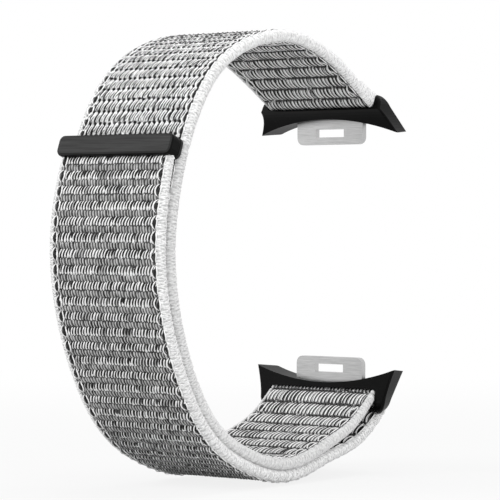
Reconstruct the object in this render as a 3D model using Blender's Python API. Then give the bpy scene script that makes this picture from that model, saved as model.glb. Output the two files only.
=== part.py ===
# Nylon watch strap on two end adapters, ready to fit a watch with a 22 mm strap.
# +X runs along the spring bars, +Z up from the six to the twelve o'clock end, and the wrist is at -Y.
# The origin is the middle of the watch's seat, between the two adapters.
import math

import bpy
import bmesh
import numpy as np
from mathutils import Matrix, Vector

mm = 0.001

# Webbing
strap_width = 22.0 * mm
webbing_thickness = 1.85 * mm
webbing_edge_round = 0.7 * mm
layer_gap = 0.3 * mm
loop_ply = 0.7 * mm
loop_taper_length = 8.0 * mm
layer_close_length = 20.0 * mm
wrist_depth = 58.2 * mm
wrist_bulge_height = 8.25 * mm
wrist_centre_height = 0.3 * mm
station_pitch = 1.25 * mm

# Inner outline of the loop, from the upper adapter round the wrist to the lower one,
# as shares of the wrist's depth and of its half height.
wrist_outline_shares = [
    (0.165, 0.818),
    (0.289, 0.926),
    (0.485, 1.000),
    (0.653, 0.952),
    (0.800, 0.823),
    (0.904, 0.600),
    (0.973, 0.307),
    (1.000, 0.000),
    (0.978, -0.277),
    (0.909, -0.570),
    (0.800, -0.806),
    (0.660, -0.934),
    (0.470, -1.000),
    (0.275, -0.920),
    (0.150, -0.838),
]
upper_leave_angle = math.radians(28.0)
lower_leave_angle = math.radians(38.0)

# Free end of the webbing
tail_length = 95.1 * mm
flap_length = 31.0 * mm
flap_thickness = 1.4 * mm
flap_slit = 0.3 * mm
patch_thickness = 0.5 * mm
patch_edge_round = 0.12 * mm
patch_side_margin = 1.5 * mm
patch_slit_margin = 3.5 * mm
patch_tip_margin = 1.75 * mm
soft_clearance = 0.1 * mm

# Tip clip
tip_height = 3.5 * mm
tip_end_wall = 0.55 * mm
tip_top_wall = 0.6 * mm
tip_cover_thickness = 0.9 * mm
tip_plate_thickness = 0.5 * mm
tip_corner_round = 1.0 * mm
tip_edge_round = 0.4 * mm
tip_plate_round = 0.15 * mm
tip_screw_spacing = 16.0 * mm
tip_screw_radius = 0.4 * mm
tip_screw_head_radius = 0.75 * mm
tip_screw_head_height = 0.3 * mm
tip_screw_bite = 0.5 * mm
screw_clearance = 0.08 * mm

# Spring bars
upper_bar_depth = 2.3 * mm
lower_bar_depth = 1.6 * mm
bar_tube_radius = 0.65 * mm
bar_bore_radius = 0.5 * mm
bar_crimp_radius = 0.37 * mm
bar_crimp_length = 0.4 * mm
bar_wrap_gap = 0.1 * mm
pin_radius = 0.4 * mm
pin_length = 0.8 * mm
pin_travel = 1.0 * mm
pin_chamfer = 0.12 * mm
shoulder_radius = 0.6 * mm
shoulder_length = 0.3 * mm
neck_radius = 0.3 * mm
plug_radius = 0.43 * mm
plug_length = 0.7 * mm
bar_clearance = 0.1 * mm
spring_radius = 0.33 * mm
spring_wire_radius = 0.07 * mm
spring_turns = 14
spring_points_per_turn = 9

# Adapters
cheek_gap = 0.3 * mm
upper_cheek_radius = 1.3 * mm
lower_cheek_radius = 1.7 * mm
slot_clearance = 0.3 * mm
upper_floor_wall = 1.05 * mm
lower_floor_wall = 0.6 * mm
slot_corner_round = 0.6 * mm
lip_wall = 0.3 * mm
lip_reach = 1.1 * mm
adapter_root_drop = 3.0 * mm
adapter_edge_round = 0.35 * mm
adapter_root_half_width = 14.8 * mm
adapter_front_root_half_width = 13.8 * mm
adapter_front_tip_half_width = 12.4 * mm
upper_tip_half_width = 12.6 * mm
lower_tip_half_width = 13.3 * mm
upper_corner_radius = 2.0 * mm
lower_corner_radius = 2.4 * mm
upper_root_back_depth = 1.3 * mm
upper_root_front_depth = 3.9 * mm
lower_root_back_depth = 2.2 * mm
lower_root_front_depth = 2.8 * mm
side_flare_power = 1.4
lip_flare_share = 0.38
lip_flare_power = 4
case_seat_height = 23.0 * mm
case_seat_radius = 43.0 * mm
pin_hole_clearance = 0.05 * mm

# Latch tongues
latch_half_width = 7.0 * mm
latch_back_depth = 0.8 * mm
latch_thickness = 1.1 * mm
latch_grip = 0.35 * mm
latch_reach = 4.7 * mm
latch_corner_round = 1.2 * mm
latch_fit = 0.1 * mm
catch_half_width = 3.0 * mm
catch_height = 1.4 * mm
catch_inset = 1.3 * mm

cut_overrun = 2.0 * mm
circle_sides = 32
small_circle_sides = 16
seat_sides = 256
adapter_levels = 12
cheek_arc_steps = 9
slot_arc_steps = 16
slot_corner_steps = 3
latch_corner_steps = 4
tip_corner_steps = 4
curve_samples_per_span = 40
fold_steps = 14
loop_end_steps = 6
edge_arc_steps = 2
loop_end_angle = math.radians(78.0)
cheek_end_angle = math.radians(80.0)
bevel_angle = math.radians(40.0)
smooth_angle = math.radians(35.0)
most_round_share = 0.48

half_width = strap_width / 2
cheek_inner = half_width + cheek_gap
upper_wrap_radius = bar_tube_radius + bar_wrap_gap + loop_ply
lower_wrap_radius = bar_tube_radius + bar_wrap_gap + webbing_thickness
bar_hole_radius = bar_tube_radius + bar_wrap_gap
fold_gap = 2 * bar_hole_radius
stack_height = 2 * webbing_thickness + layer_gap
adapter_root_height = case_seat_height - adapter_root_drop
latch_root_height = case_seat_height + latch_grip
latch_tip_height = latch_root_height - latch_reach
shoulder_outer = cheek_inner - bar_clearance
shoulder_inner = shoulder_outer - shoulder_length
bar_tube_half_length = shoulder_inner - pin_travel - bar_clearance
upper_bar_height = case_seat_height + upper_floor_wall + slot_clearance + upper_wrap_radius
lower_bar_height = case_seat_height + lower_floor_wall + slot_clearance + lower_wrap_radius
wrist_half_height = (upper_bar_height + lower_bar_height) / 2 + wrist_bulge_height

upper_bar = Vector((-upper_bar_depth, upper_bar_height))
lower_bar = Vector((-lower_bar_depth, -lower_bar_height))


def clear_scene():
    for obj in list(bpy.data.objects):
        bpy.data.objects.remove(obj, do_unlink=True)


def make_material(name, color, roughness, metallic):
    material = bpy.data.materials.new(name)
    material.use_nodes = True
    shader = material.node_tree.nodes["Principled BSDF"]
    shader.inputs["Base Color"].default_value = (*color, 1.0)
    shader.inputs["Roughness"].default_value = roughness
    shader.inputs["Metallic"].default_value = metallic
    return material


def nylon(name):
    return make_material(name, (0.56, 0.56, 0.56), 0.85, 0.0)


def hook_nylon(name):
    return make_material(name, (0.7, 0.7, 0.7), 0.6, 0.0)


def black_metal(name):
    return make_material(name, (0.03, 0.03, 0.033), 0.38, 0.6)


def black_plate(name):
    return make_material(name, (0.05, 0.05, 0.053), 0.45, 0.6)


def steel(name):
    return make_material(name, (0.55, 0.55, 0.56), 0.3, 1.0)


def add_object(name, bm, material):
    """Turns a bmesh into one named object with faces that point out."""
    bmesh.ops.recalc_face_normals(bm, faces=bm.faces)
    mesh = bpy.data.meshes.new(name)
    bm.to_mesh(mesh)
    bm.free()
    mesh.shade_smooth()
    mesh.set_sharp_from_angle(angle=smooth_angle)
    if material:
        mesh.materials.append(material)
    obj = bpy.data.objects.new(name, mesh)
    bpy.context.scene.collection.objects.link(obj)
    return obj


def add_bevel(obj, width, segments=2):
    bevel = obj.modifiers.new("edge_round", "BEVEL")
    bevel.width = width
    bevel.segments = segments
    bevel.limit_method = "ANGLE"
    bevel.angle_limit = bevel_angle


def subtract(obj, cutter):
    """Cuts one object out of another and leaves the cutter as a hidden guide."""
    cutter.hide_render = True
    cutter.display_type = "WIRE"
    cut = obj.modifiers.new("cut", "BOOLEAN")
    cut.operation = "DIFFERENCE"
    cut.solver = "EXACT"
    cut.object = cutter


def loft(name, rings, material):
    """Joins a row of equal closed rings into one closed body."""
    bm = bmesh.new()
    loops = [[bm.verts.new(point) for point in ring] for ring in rings]
    count = len(rings[0])
    for near, far in zip(loops, loops[1:]):
        for i in range(count):
            j = (i + 1) % count
            bm.faces.new((near[i], near[j], far[j], far[i]))
    bm.faces.new(loops[0])
    bm.faces.new(loops[-1])
    return add_object(name, bm, material)


def prism(name, outline, half):
    """Runs a (Y, Z) outline from -half to half along X."""
    left = [(-half, point.x, point.y) for point in outline]
    right = [(half, point.x, point.y) for point in outline]
    return loft(name, [left, right], None)


def turned_along_x(name, profile, sides, material, centre, closed=False):
    """Turns (x, radius) points about the X axis through centre, a (Y, Z) place."""
    rings = []
    for k in range(sides):
        angle = 2 * math.pi * k / sides
        across = Vector((0.0, math.cos(angle), math.sin(angle)))
        rings.append([Vector((x, 0.0, 0.0)) + across * radius for x, radius in profile])
    bm = bmesh.new()
    loops = [[bm.verts.new(point) for point in ring] for ring in rings]
    spans = len(profile) if closed else len(profile) - 1
    for k in range(sides):
        near = loops[k]
        far = loops[(k + 1) % sides]
        for i in range(spans):
            j = (i + 1) % len(profile)
            bm.faces.new((near[i], near[j], far[j], far[i]))
    if not closed:
        bm.faces.new([ring[0] for ring in loops])
        bm.faces.new([ring[-1] for ring in loops])
    obj = add_object(name, bm, material)
    obj.location = (0.0, centre[0], centre[1])
    return obj


def box(name, low, high, material=None):
    bm = bmesh.new()
    bmesh.ops.create_cube(bm, size=1.0)
    size = Vector(high) - Vector(low)
    middle = (Vector(high) + Vector(low)) / 2
    bmesh.ops.scale(bm, vec=size, verts=bm.verts)
    bmesh.ops.translate(bm, vec=middle, verts=bm.verts)
    return add_object(name, bm, material)


def rounded_block(name, low, high, corner, material):
    """A block whose four edges along Y are round."""
    left, right = low[0] + corner, high[0] - corner
    bottom, top = low[2] + corner, high[2] - corner
    outline = []
    for x, z, start in ((right, top, 0.0), (left, top, 90.0), (left, bottom, 180.0), (right, bottom, 270.0)):
        for k in range(tip_corner_steps + 1):
            angle = math.radians(start + 90.0 * k / tip_corner_steps)
            outline.append((x + corner * math.cos(angle), z + corner * math.sin(angle)))
    inner = [(x, low[1], z) for x, z in outline]
    outer = [(x, high[1], z) for x, z in outline]
    return loft(name, [inner, outer], material)


def clamped_spline(points, start_direction, end_direction):
    """Smooth curve through the points that leaves and arrives in the given directions."""
    knots = np.array([tuple(p) for p in points])
    steps = np.linalg.norm(np.diff(knots, axis=0), axis=1)
    count = len(knots)
    matrix = np.zeros((count, count))
    right = np.zeros((count, 2))
    matrix[0, 0] = 1.0
    matrix[-1, -1] = 1.0
    right[0] = tuple(start_direction)
    right[-1] = tuple(end_direction)
    for i in range(1, count - 1):
        before, after = steps[i - 1], steps[i]
        matrix[i, i - 1] = after
        matrix[i, i] = 2 * (before + after)
        matrix[i, i + 1] = before
        rise = (knots[i] - knots[i - 1]) / before * after
        rise_after = (knots[i + 1] - knots[i]) / after * before
        right[i] = 3 * (rise + rise_after)
    slopes = np.linalg.solve(matrix, right)
    return knots, slopes, steps


def spline_samples(spline):
    """Points and directions at close steps along the curve, with the length so far."""
    knots, slopes, steps = spline
    places = []
    for i, step in enumerate(steps):
        for k in range(curve_samples_per_span):
            u = k / curve_samples_per_span
            places.append(hermite(knots[i], knots[i + 1], slopes[i], slopes[i + 1], step, u))
    places.append(hermite(knots[-2], knots[-1], slopes[-2], slopes[-1], steps[-1], 1.0))
    points = np.array([place[0] for place in places])
    tangents = np.array([place[1] for place in places])
    tangents /= np.linalg.norm(tangents, axis=1)[:, None]
    lengths = np.concatenate([[0.0], np.cumsum(np.linalg.norm(np.diff(points, axis=0), axis=1))])
    return points, tangents, lengths


def hermite(start, end, start_slope, end_slope, step, u):
    a = 2 * u**3 - 3 * u**2 + 1
    b = u**3 - 2 * u**2 + u
    c = -2 * u**3 + 3 * u**2
    d = u**3 - u**2
    point = a * start + b * step * start_slope + c * end + d * step * end_slope
    da = 6 * u**2 - 6 * u
    db = 3 * u**2 - 4 * u + 1
    dc = -da
    dd = 3 * u**2 - 2 * u
    tangent = (da * start + dc * end) / step + db * start_slope + dd * end_slope
    return point, tangent


def leave_direction(side, angle):
    """The way the webbing leaves a bar, away from the watch; side is +1 at the upper end."""
    return Vector((-math.cos(angle), side * math.sin(angle)))


def wrist_normal(side, angle):
    """Across the leaving webbing, towards the wrist."""
    return Vector((-math.sin(angle), -side * math.cos(angle)))


def wrist_curve():
    """The webbing's inner face as a smooth (Y, Z) curve from the upper bar to the lower bar."""
    start = upper_bar + upper_wrap_radius * wrist_normal(1, upper_leave_angle)
    end = lower_bar + lower_wrap_radius * wrist_normal(-1, lower_leave_angle)
    middle = []
    for depth_share, height_share in wrist_outline_shares:
        height = wrist_centre_height + height_share * wrist_half_height
        middle.append((-depth_share * wrist_depth, height))
    points = [start] + middle + [end]
    spline = clamped_spline(
        points,
        leave_direction(1, upper_leave_angle),
        -leave_direction(-1, lower_leave_angle),
    )
    return spline_samples(spline)


curve_points, curve_tangents, curve_lengths = wrist_curve()
curve_length = curve_lengths[-1]


def curve_frame(length):
    """Point, direction and outward normal of the inner face, at a length from the upper bar."""
    point = Vector([np.interp(length, curve_lengths, curve_points[:, k]) for k in range(2)])
    along = Vector([np.interp(length, curve_lengths, curve_tangents[:, k]) for k in range(2)])
    along.normalize()
    outward = Vector((along.y, -along.x))
    return point, along, outward


def ease(share):
    share = min(max(share, 0.0), 1.0)
    return share * share * (3 - 2 * share)


def tail_gap(length_from_lower_bar):
    """Gap between the inner run and the outer run: wide at the bar, then almost closed."""
    share = ease(length_from_lower_bar / layer_close_length)
    return fold_gap + (layer_gap - fold_gap) * share


def ribbon_ring(base, across, thickness, half=half_width, edge_round=webbing_edge_round):
    """One rounded cross section of a ribbon; base is a (Y, Z) point on one of its faces."""
    radius = min(edge_round, most_round_share * thickness)
    corners = [
        (half - radius, radius, -90.0),
        (half - radius, thickness - radius, 0.0),
        (-half + radius, thickness - radius, 90.0),
        (-half + radius, radius, 180.0),
    ]
    ring = []
    for x, depth, start in corners:
        for k in range(edge_arc_steps + 1):
            angle = math.radians(start + 90.0 * k / edge_arc_steps)
            side = x + radius * math.cos(angle)
            inside = depth + radius * math.sin(angle)
            place = base + across * inside
            ring.append(Vector((side, place.x, place.y)))
    return ring


def lengths_between(start, end):
    count = max(2, math.ceil(abs(end - start) / station_pitch))
    return [start + (end - start) * k / count for k in range(count + 1)]


def loop_end_rings():
    """The rounded end of the sewn loop, on the watch's side of the upper bar."""
    leave = leave_direction(1, upper_leave_angle)
    inside = wrist_normal(1, upper_leave_angle)
    rings = []
    for k in range(loop_end_steps):
        angle = loop_end_angle * (1 - k / loop_end_steps)
        reach = upper_wrap_radius * math.sin(angle)
        spread = upper_wrap_radius * math.cos(angle)
        base = upper_bar - leave * reach + inside * spread
        rings.append(ribbon_ring(base, -inside, 2 * spread))
    return rings


def inner_run_rings():
    rings = []
    extra = 2 * upper_wrap_radius - webbing_thickness
    for length in lengths_between(0.0, curve_length):
        point, along, outward = curve_frame(length)
        thickness = webbing_thickness + extra * (1 - ease(length / loop_taper_length))
        rings.append(ribbon_ring(point, outward, thickness))
    return rings


def fold_rings():
    """The half turn round the lower bar, without its two ends."""
    leave = leave_direction(-1, lower_leave_angle)
    inside = wrist_normal(-1, lower_leave_angle)
    rings = []
    for k in range(1, fold_steps):
        angle = math.pi * k / fold_steps
        spoke = inside * math.cos(angle) - leave * math.sin(angle)
        rings.append(ribbon_ring(lower_bar + spoke * lower_wrap_radius, -spoke, webbing_thickness))
    return rings


def outer_place(length_from_lower_bar):
    """The outer run's outer face, and the way across it towards the wrist."""
    point, along, outward = curve_frame(curve_length - length_from_lower_bar)
    height = 2 * webbing_thickness + tail_gap(length_from_lower_bar)
    return point + outward * height, -along, outward


def outer_run_rings(start, end, thickness):
    rings = []
    for length in lengths_between(start, end):
        base, onward, outward = outer_place(length)
        rings.append(ribbon_ring(base, -outward, thickness))
    return rings


flap_start = tail_length - flap_length
flap_end = tail_length - tip_top_wall - soft_clearance


def make_wrist_band():
    outer = outer_run_rings(0.0, flap_start - flap_slit / 2, webbing_thickness)
    rings = loop_end_rings() + inner_run_rings() + fold_rings() + outer
    band = loft("wrist_band", rings, nylon("wrist_band"))
    hole = bar_cutter("upper_loop_hole_guide", upper_bar, bar_hole_radius, cheek_inner)
    subtract(band, hole)
    return band


def bar_cutter(name, centre, radius, reach):
    profile = [(-reach, radius), (reach, radius)]
    return turned_along_x(name, profile, circle_sides, None, centre)


def make_tail_flap():
    rings = outer_run_rings(flap_start + flap_slit / 2, flap_end, flap_thickness)
    flap = loft("tail_flap", rings, nylon("tail_flap"))
    for side in (-1, 1):
        hole = tip_screw_cutter(f"flap_hole_guide_{side}", side, tip_screw_radius + screw_clearance)
        subtract(flap, hole)
    return flap


def make_hook_patch():
    rings = []
    start = flap_start + patch_slit_margin
    end = tail_length - tip_height - patch_tip_margin
    depth = flap_thickness + soft_clearance
    half = half_width - patch_side_margin
    for length in lengths_between(start, end):
        base, onward, outward = outer_place(length)
        face = base - outward * depth
        rings.append(ribbon_ring(face, -outward, patch_thickness, half, patch_edge_round))
    return loft("hook_patch", rings, hook_nylon("hook_patch"))


def tip_frame():
    """Axes of the tip clip: X across, Y out of the strap, Z back along the strap."""
    base, onward, outward = outer_place(tail_length - tip_height / 2)
    frame = Matrix.Identity(4)
    frame.col[1] = (0.0, outward.x, outward.y, 0.0)
    frame.col[2] = (0.0, -onward.x, -onward.y, 0.0)
    frame.col[3] = (0.0, base.x, base.y, 1.0)
    return frame


tip_inner_half = half_width + soft_clearance
tip_outer_half = tip_inner_half + tip_end_wall
tip_plate_top = -flap_thickness - soft_clearance
tip_plate_bottom = tip_plate_top - tip_plate_thickness


def place_on_tip(obj):
    """Moves a piece modelled about the tip clip's own axes to its place on the strap."""
    obj.matrix_world = tip_frame()
    return obj


def tip_screw_cutter(name, side, radius):
    reach = tip_cover_thickness + stack_height
    guide = screw_cylinder(name, side, radius, -reach, tip_screw_bite)
    return place_on_tip(guide)


def screw_cylinder(name, side, radius, low, high, material=None):
    profile = [(low, radius), (high, radius)]
    return turned_screw(name, side, profile, material)


def turned_screw(name, side, profile, material):
    """Turns (height, radius) points about the screw's axis, which points out of the strap."""
    place = side * tip_screw_spacing / 2
    bm = bmesh.new()
    loops = []
    for height, radius in profile:
        ring = []
        for k in range(small_circle_sides):
            angle = 2 * math.pi * k / small_circle_sides
            x = place + radius * math.cos(angle)
            ring.append(bm.verts.new((x, height, radius * math.sin(angle))))
        loops.append(ring)
    for near, far in zip(loops, loops[1:]):
        for i in range(small_circle_sides):
            j = (i + 1) % small_circle_sides
            bm.faces.new((near[i], near[j], far[j], far[i]))
    bm.faces.new(loops[0])
    bm.faces.new(loops[-1])
    return add_object(name, bm, material)


def make_tip_cover():
    low = (-tip_outer_half, -flap_thickness, -tip_height / 2)
    high = (tip_outer_half, tip_cover_thickness + soft_clearance, tip_height / 2)
    cover = rounded_block("tip_cover", low, high, tip_corner_round, black_metal("tip_cover"))
    add_bevel(cover, tip_edge_round)
    low = (-tip_inner_half, -flap_thickness - cut_overrun, -tip_height / 2 + tip_top_wall)
    high = (tip_inner_half, soft_clearance, tip_height / 2 + cut_overrun)
    pocket = place_on_tip(box("tip_pocket_guide", low, high))
    subtract(cover, pocket)
    for side in (-1, 1):
        hole = tip_screw_cutter(f"cover_hole_guide_{side}", side, tip_screw_radius + screw_clearance)
        subtract(cover, hole)
    return place_on_tip(cover)


def make_tip_clamp():
    low = (-tip_outer_half, tip_plate_bottom, -tip_height / 2)
    high = (tip_outer_half, tip_plate_top, tip_height / 2)
    plate = rounded_block("tip_clamp", low, high, tip_corner_round, black_plate("tip_clamp"))
    add_bevel(plate, tip_plate_round, 1)
    head_depth = tip_plate_bottom + tip_screw_head_height + screw_clearance
    for side in (-1, 1):
        hole = tip_screw_cutter(f"clamp_hole_guide_{side}", side, tip_screw_radius + screw_clearance)
        subtract(plate, hole)
        head_radius = tip_screw_head_radius + screw_clearance
        name = f"clamp_head_guide_{side}"
        sink = screw_cylinder(name, side, head_radius, tip_plate_bottom - cut_overrun, head_depth)
        subtract(plate, place_on_tip(sink))
    return place_on_tip(plate)


def make_tip_screw(name, side):
    head_top = tip_plate_bottom + tip_screw_head_height
    profile = [
        (tip_plate_bottom, tip_screw_head_radius),
        (head_top, tip_screw_head_radius),
        (head_top, tip_screw_radius),
        (tip_screw_bite - screw_clearance, tip_screw_radius),
    ]
    return place_on_tip(turned_screw(name, side, profile, steel(name)))


def tangent_point(centre, point, radius, turn):
    """Where a line from the point touches a circle, on the side that turn picks."""
    to_point = point - centre
    direction = math.atan2(to_point.y, to_point.x)
    angle = direction - turn * math.acos(radius / to_point.length)
    return centre + radius * Vector((math.cos(angle), math.sin(angle)))


def depth_on_line(start, end, height):
    return start.x + (end.x - start.x) * (height - start.y) / (end.y - start.y)


def depth_on_circle(bar, radius, height, turn):
    rise = min(abs(height - bar.y), radius)
    return bar.x + turn * math.sqrt(radius**2 - rise**2)


def slot_lip(bar, angle, wrap_radius):
    """Outer edge of the lip that the webbing leaves over, past the wall of its slot."""
    leave = leave_direction(1, angle)
    inside = wrist_normal(1, angle)
    return bar + inside * (wrap_radius + slot_clearance + lip_wall) + leave * lip_reach


def lip_depth(root, lip, height):
    """The hollow wrist-side face under the lip: a slope with a flare at its top."""
    share = (height - root.y) / (lip.y - root.y)
    flare = lip_flare_share * share**lip_flare_power
    return root.x + (lip.x - root.x) * ((1 - lip_flare_share) * share + flare)


def adapter_heights(bar, radius, breaks):
    """Heights of the cross sections, closer together round the end of the cheeks."""
    heights = []
    for low, high in zip(breaks, breaks[1:]):
        count = math.ceil(adapter_levels * (high - low) / (bar.y - adapter_root_height))
        heights += [low + (high - low) * k / count for k in range(count)]
    start = math.asin((breaks[-1] - bar.y) / radius)
    for k in range(cheek_arc_steps + 1):
        angle = start + (cheek_end_angle - start) * k / cheek_arc_steps
        heights.append(bar.y + radius * math.sin(angle))
    return heights


def adapter_half_widths(height, end_height, tip_half_width, corner_radius):
    """Half width at the wrist-side face and at the front, flared to the watch's side."""
    corner_height = end_height - corner_radius
    if height > corner_height:
        over = height - corner_height
        lost = corner_radius - math.sqrt(corner_radius**2 - over**2)
        return tip_half_width - lost, adapter_front_tip_half_width - lost
    share = (corner_height - height) / (corner_height - adapter_root_height)
    back_spread = adapter_root_half_width - tip_half_width
    front_spread = adapter_front_root_half_width - adapter_front_tip_half_width
    back = tip_half_width + back_spread * share**side_flare_power
    return back, adapter_front_tip_half_width + front_spread * share


def adapter_ring(side, height, back, front, back_half, front_half):
    """One level cross section of an adapter, with rounded corners."""
    radius = min(adapter_edge_round, most_round_share * (front - back))
    corners = [
        (back_half - radius, back + radius, -90.0),
        (front_half - radius, front - radius, 0.0),
        (-front_half + radius, front - radius, 90.0),
        (-back_half + radius, back + radius, 180.0),
    ]
    ring = []
    for x, depth, start in corners:
        for k in range(edge_arc_steps + 1):
            angle = math.radians(start + 90.0 * k / edge_arc_steps)
            place_x = x + radius * math.cos(angle)
            ring.append((place_x, depth + radius * math.sin(angle), side * height))
    return ring


def adapter_rings(side, bar, sizes, wrap_radius):
    """Cross sections from the watch's side to the round end of the cheeks, bar at +Z."""
    radius = sizes["cheek_radius"]
    back_root = Vector((-sizes["root_back_depth"], adapter_root_height))
    front_root = Vector((sizes["root_front_depth"], adapter_root_height))
    back_start = back_root
    breaks = [adapter_root_height]
    if sizes["has_lip"]:
        back_start = slot_lip(bar, sizes["leave_angle"], wrap_radius)
        breaks.append(back_start.y)
    back_end = tangent_point(bar, back_start, radius, 1)
    front_end = tangent_point(bar, front_root, radius, -1)
    breaks += sorted([back_end.y, front_end.y])
    end_height = bar.y + radius
    rings = []
    for height in adapter_heights(bar, radius, breaks):
        if sizes["has_lip"] and height < back_start.y:
            back = lip_depth(back_root, back_start, height)
        elif height < back_end.y:
            back = depth_on_line(back_start, back_end, height)
        else:
            back = depth_on_circle(bar, radius, height, -1)
        if height < front_end.y:
            front = depth_on_line(front_root, front_end, height)
        else:
            front = depth_on_circle(bar, radius, height, 1)
        halves = adapter_half_widths(
            height, end_height, sizes["tip_half_width"], sizes["corner_radius"])
        rings.append(adapter_ring(side, height, back, front, *halves))
    return rings


def slot_outline(side, bar, angle, radius):
    """Side view of the slot for the webbing: round at its floor, open away from the watch."""
    reach = stack_height + cut_overrun
    leave = leave_direction(1, angle)
    inside = wrist_normal(1, angle)
    outline = [bar + inside * radius + leave * reach]
    start = math.atan2(inside.y, inside.x)
    for k in range(slot_arc_steps + 1):
        spoke = start * (1 - k / slot_arc_steps)
        outline.append(bar + radius * Vector((math.cos(spoke), math.sin(spoke))))
    outline.append(bar + Vector((radius, reach)))
    outline.append(bar + Vector((leave.x * reach, reach)))
    return [Vector((point.x, side * point.y)) for point in outline]


def seat_cutter(name, side):
    """The round end of the watch's case, as a cylinder whose axis runs front to back."""
    centre = side * (case_seat_height - case_seat_radius)
    bm = bmesh.new()
    bmesh.ops.create_cone(
        bm, cap_ends=True, segments=seat_sides, radius1=case_seat_radius,
        radius2=case_seat_radius, depth=case_seat_radius)
    bmesh.ops.rotate(bm, matrix=Matrix.Rotation(math.radians(90.0), 3, "X"), verts=bm.verts)
    bmesh.ops.translate(bm, vec=(0.0, 0.0, centre), verts=bm.verts)
    return add_object(name, bm, None)


upper_sizes = {
    "leave_angle": upper_leave_angle,
    "cheek_radius": upper_cheek_radius,
    "has_lip": True,
    "tip_half_width": upper_tip_half_width,
    "corner_radius": upper_corner_radius,
    "root_back_depth": upper_root_back_depth,
    "root_front_depth": upper_root_front_depth,
}
lower_sizes = {
    "leave_angle": lower_leave_angle,
    "cheek_radius": lower_cheek_radius,
    "has_lip": False,
    "tip_half_width": lower_tip_half_width,
    "corner_radius": lower_corner_radius,
    "root_back_depth": lower_root_back_depth,
    "root_front_depth": lower_root_front_depth,
}


def make_adapter(prefix, side, bar, wrap_radius, sizes):
    name = f"{prefix}_adapter"
    raised_bar = Vector((bar.x, abs(bar.y)))
    rings = adapter_rings(side, raised_bar, sizes, wrap_radius)
    adapter = loft(name, rings, black_metal(name))
    subtract(adapter, seat_cutter(f"{prefix}_seat_guide", side))
    slot = slot_outline(side, raised_bar, sizes["leave_angle"], wrap_radius + slot_clearance)
    slot_guide = prism(f"{prefix}_slot_guide", slot, cheek_inner)
    add_bevel(slot_guide, slot_corner_round, slot_corner_steps)
    subtract(adapter, slot_guide)
    reach = cheek_inner + pin_length + bar_clearance
    subtract(adapter, bar_cutter(f"{prefix}_pin_guide", bar, pin_radius + pin_hole_clearance, reach))
    low = latch_corner(side, -latch_fit, latch_root_height + latch_fit)
    high = latch_corner(side, latch_fit, latch_tip_height)
    subtract(adapter, box(f"{prefix}_latch_guide", *ordered(low, high)))
    return adapter


def latch_corner(side, spare, height):
    """One corner of the latch tongue, or of its pocket where spare isn't zero."""
    if spare < 0:
        return (-latch_half_width + spare, -latch_back_depth + spare, side * height)
    return (latch_half_width + spare, latch_thickness - latch_back_depth + spare, side * height)


def ordered(one, other):
    low = [min(pair) for pair in zip(one, other)]
    high = [max(pair) for pair in zip(one, other)]
    return low, high


def latch_outline(side):
    """Front view of the tongue: square in its pocket, with round corners at its free end."""
    corner_x = latch_half_width - latch_corner_round
    corner_z = latch_tip_height + latch_corner_round
    outline = [Vector((-latch_half_width, side * latch_root_height))]
    for centre_x, start in ((-corner_x, 180.0), (corner_x, 270.0)):
        for k in range(latch_corner_steps + 1):
            angle = math.radians(start + 90.0 * k / latch_corner_steps)
            x = centre_x + latch_corner_round * math.cos(angle)
            z = corner_z + latch_corner_round * math.sin(angle)
            outline.append(Vector((x, side * z)))
    outline.append(Vector((latch_half_width, side * latch_root_height)))
    return outline


def make_latch(prefix, side):
    name = f"{prefix}_latch"
    outline = latch_outline(side)
    back = [(p.x, -latch_back_depth, p.y) for p in outline]
    front = [(p.x, latch_thickness - latch_back_depth, p.y) for p in outline]
    latch = loft(name, [back, front], steel(name))
    catch_low = latch_tip_height + catch_inset
    low = (-catch_half_width, -latch_back_depth - cut_overrun, side * catch_low)
    high = (catch_half_width, latch_thickness + cut_overrun, side * (catch_low + catch_height))
    subtract(latch, box(f"{prefix}_catch_guide", *ordered(low, high)))
    return latch


def make_bar_tube(prefix, bar):
    name = f"{prefix}_bar_tube"
    end = bar_tube_half_length
    inner = end - bar_crimp_length
    profile = [
        (-end, bar_tube_radius),
        (end, bar_tube_radius),
        (end, bar_crimp_radius),
        (inner, bar_crimp_radius),
        (inner, bar_bore_radius),
        (-inner, bar_bore_radius),
        (-inner, bar_crimp_radius),
        (-end, bar_crimp_radius),
    ]
    return turned_along_x(name, profile, small_circle_sides, steel(name), bar, closed=True)


plug_outer = bar_tube_half_length - bar_crimp_length - bar_clearance
plug_inner = plug_outer - plug_length
pin_end = cheek_inner + pin_length


def make_bar_tip(prefix, word, side, bar):
    """A sprung end of the bar: plug in the tube, neck, shoulder, and the pin in the cheek."""
    name = f"{prefix}_bar_tip_{word}"
    profile = [
        (plug_inner, plug_radius),
        (plug_outer, plug_radius),
        (plug_outer, neck_radius),
        (shoulder_inner, neck_radius),
        (shoulder_inner, shoulder_radius),
        (shoulder_outer, shoulder_radius),
        (shoulder_outer, pin_radius),
        (pin_end - pin_chamfer, pin_radius),
        (pin_end, pin_radius - pin_chamfer),
    ]
    profile = [(side * x, radius) for x, radius in profile]
    return turned_along_x(name, profile, small_circle_sides, steel(name), bar)


def make_bar_spring(prefix, bar):
    name = f"{prefix}_bar_spring"
    reach = plug_inner - bar_clearance - spring_wire_radius
    count = spring_turns * spring_points_per_turn
    curve = bpy.data.curves.new(name, "CURVE")
    curve.dimensions = "3D"
    curve.bevel_depth = spring_wire_radius
    curve.bevel_resolution = 1
    curve.use_fill_caps = True
    line = curve.splines.new("POLY")
    line.points.add(count)
    for k in range(count + 1):
        angle = 2 * math.pi * k / spring_points_per_turn
        x = -reach + 2 * reach * k / count
        place = (x, spring_radius * math.cos(angle), spring_radius * math.sin(angle), 1.0)
        line.points[k].co = place
    curve.materials.append(steel(name))
    spring = bpy.data.objects.new(name, curve)
    bpy.context.scene.collection.objects.link(spring)
    spring.location = (0.0, bar.x, bar.y)
    return spring


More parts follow.
